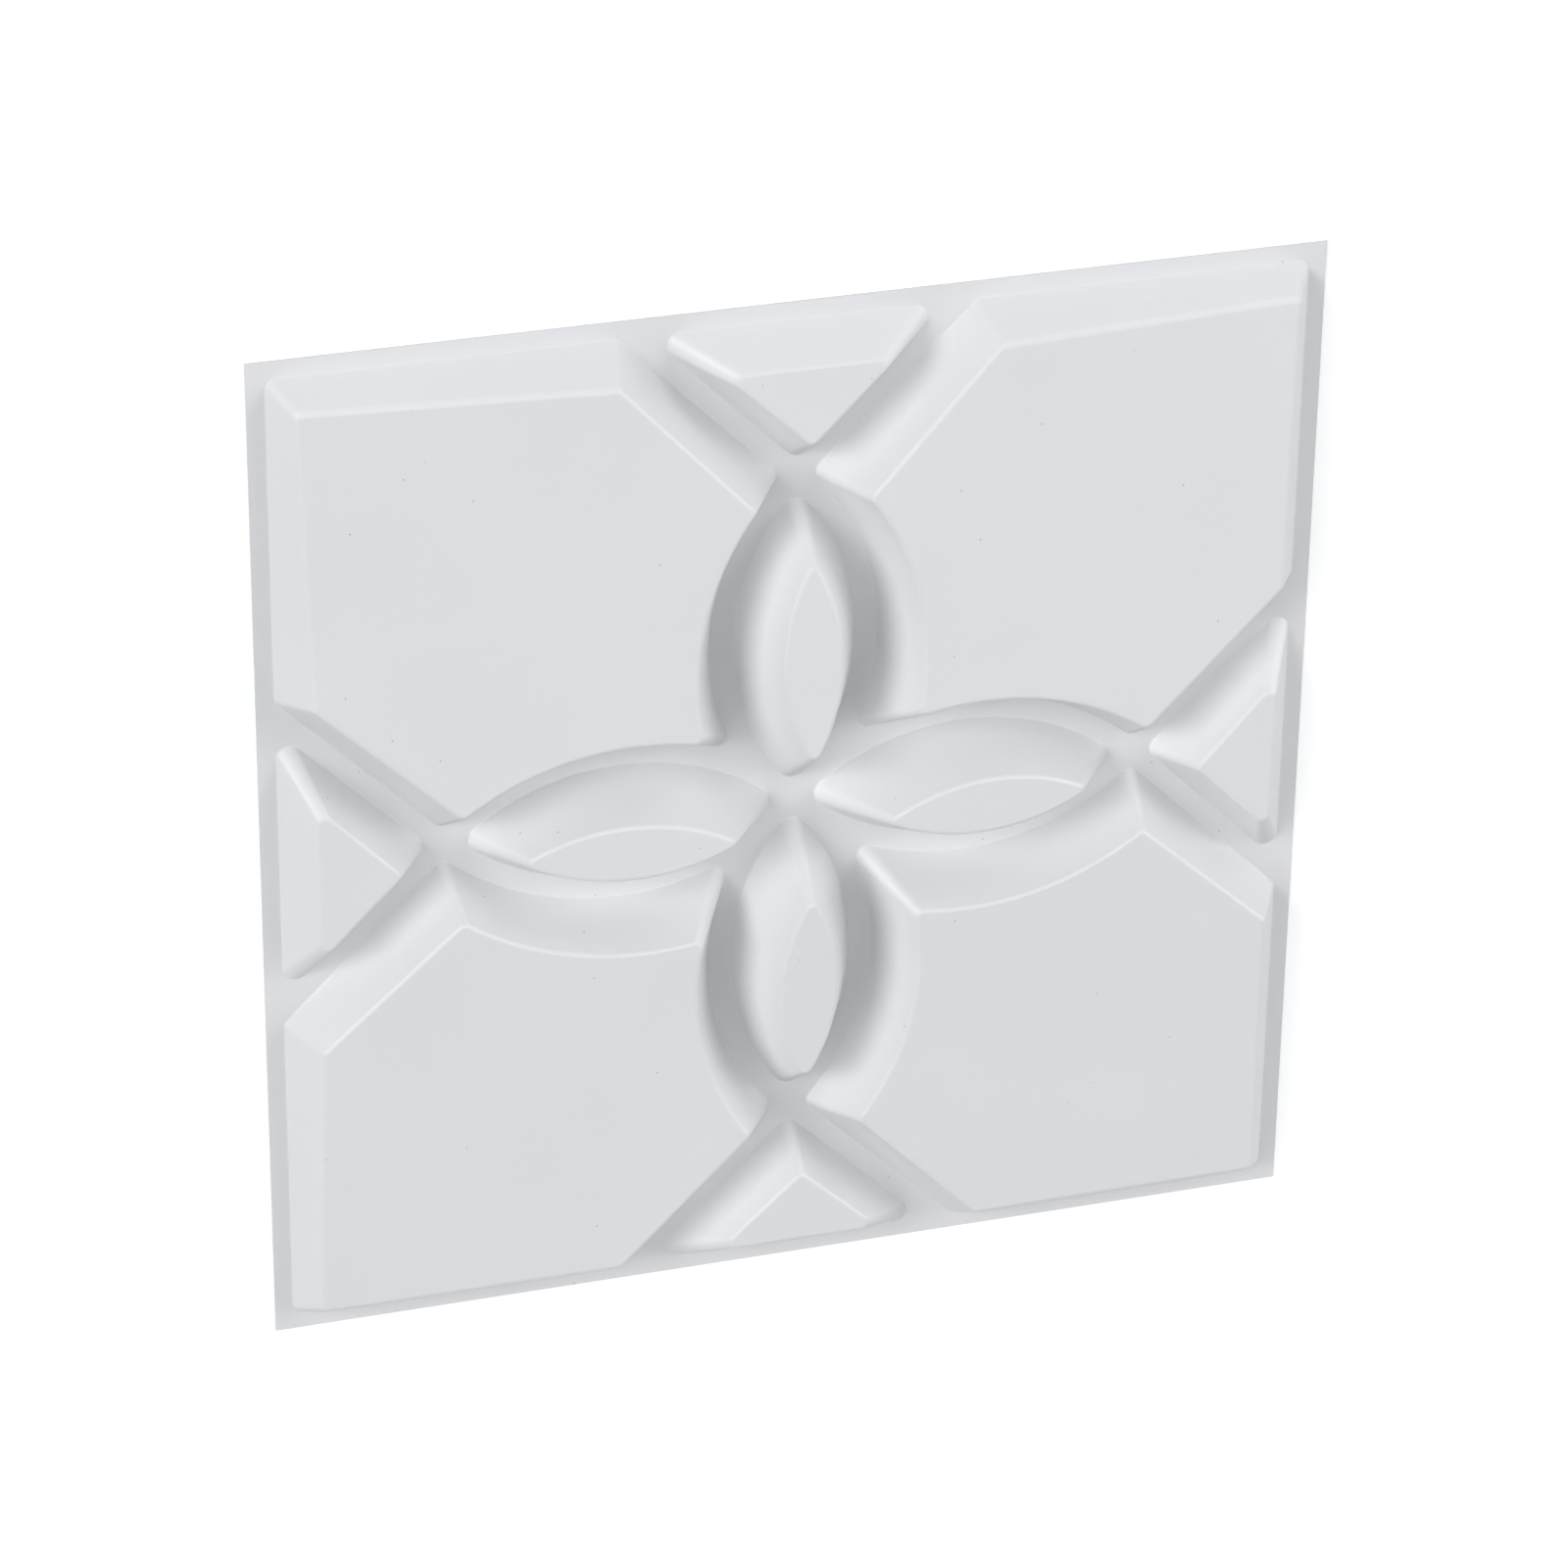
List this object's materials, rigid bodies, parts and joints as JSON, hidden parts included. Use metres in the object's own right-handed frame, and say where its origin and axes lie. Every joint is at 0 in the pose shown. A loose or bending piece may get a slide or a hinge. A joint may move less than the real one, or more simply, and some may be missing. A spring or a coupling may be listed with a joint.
{
  "type": "3d wall panel tile",
  "caption": "Square thermoformed plastic wall tile with a raised four-petal relief, open and hollow at the back, glued by its flat border.",
  "frame": {"origin": "centre of the square on the plane of the back face, where the tile rests on a floor or wall", "axes": "+Z out of the relief, +X and +Y along the sides; the pattern repeats every quarter turn about Z"},
  "size_m": [0.5, 0.5, 0.0368],
  "materials": {
    "white_pvc": "matte white, thermoformed sheet"
  },
  "bodies": {
    "root": {"wall_panel": "white_pvc"}
  },
  "joints": []
}
